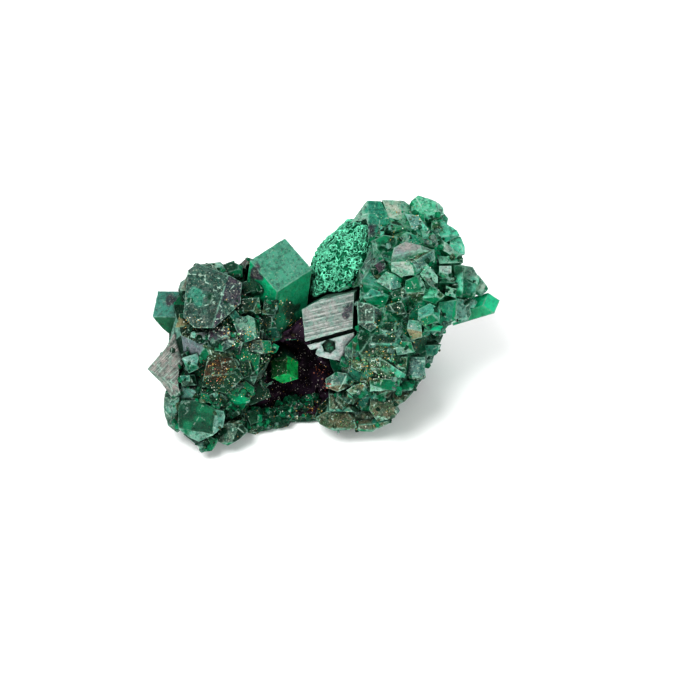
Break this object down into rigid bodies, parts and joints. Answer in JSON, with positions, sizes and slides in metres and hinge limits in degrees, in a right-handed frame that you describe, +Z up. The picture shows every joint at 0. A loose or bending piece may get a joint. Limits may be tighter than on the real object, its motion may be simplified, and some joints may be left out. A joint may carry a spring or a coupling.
{
  "type": "dioptase mineral specimen",
  "caption": "Mineral specimen of intergrown green crystals on dark rock, with an open cavity and a mint-green fibrous crust between its lobes, cut flat below.",
  "frame": {"origin": "middle of the specimen's box, on the flat cut that it rests on", "axes": "+X along its length to the right as the picture shows it, +Y away from the viewer, +Z up"},
  "size_m": [0.0502, 0.0327, 0.0273],
  "materials": {
    "matrix": "rough, with fine pale grains",
    "frosted_crystal": "crystal faces, frosted grey-green to clear emerald",
    "emerald_crystal": "clear emerald crystal, glassy",
    "silvery_crystal": "striated faces with a silvery sheen",
    "malachite": "matt, fine curled fibres"
  },
  "bodies": {
    "root": {"matrix_rock": "matrix", "left_crystal_cluster": "frosted_crystal", "right_crystal_cluster": "frosted_crystal", "lower_crystal_crust": "frosted_crystal", "upper_crystal": "emerald_crystal", "left_edge_crystal": "emerald_crystal", "right_tip_crystal": "emerald_crystal", "cavity_crystal": "emerald_crystal", "striated_crystal": "silvery_crystal", "malachite_crust": "malachite"}
  },
  "joints": []
}
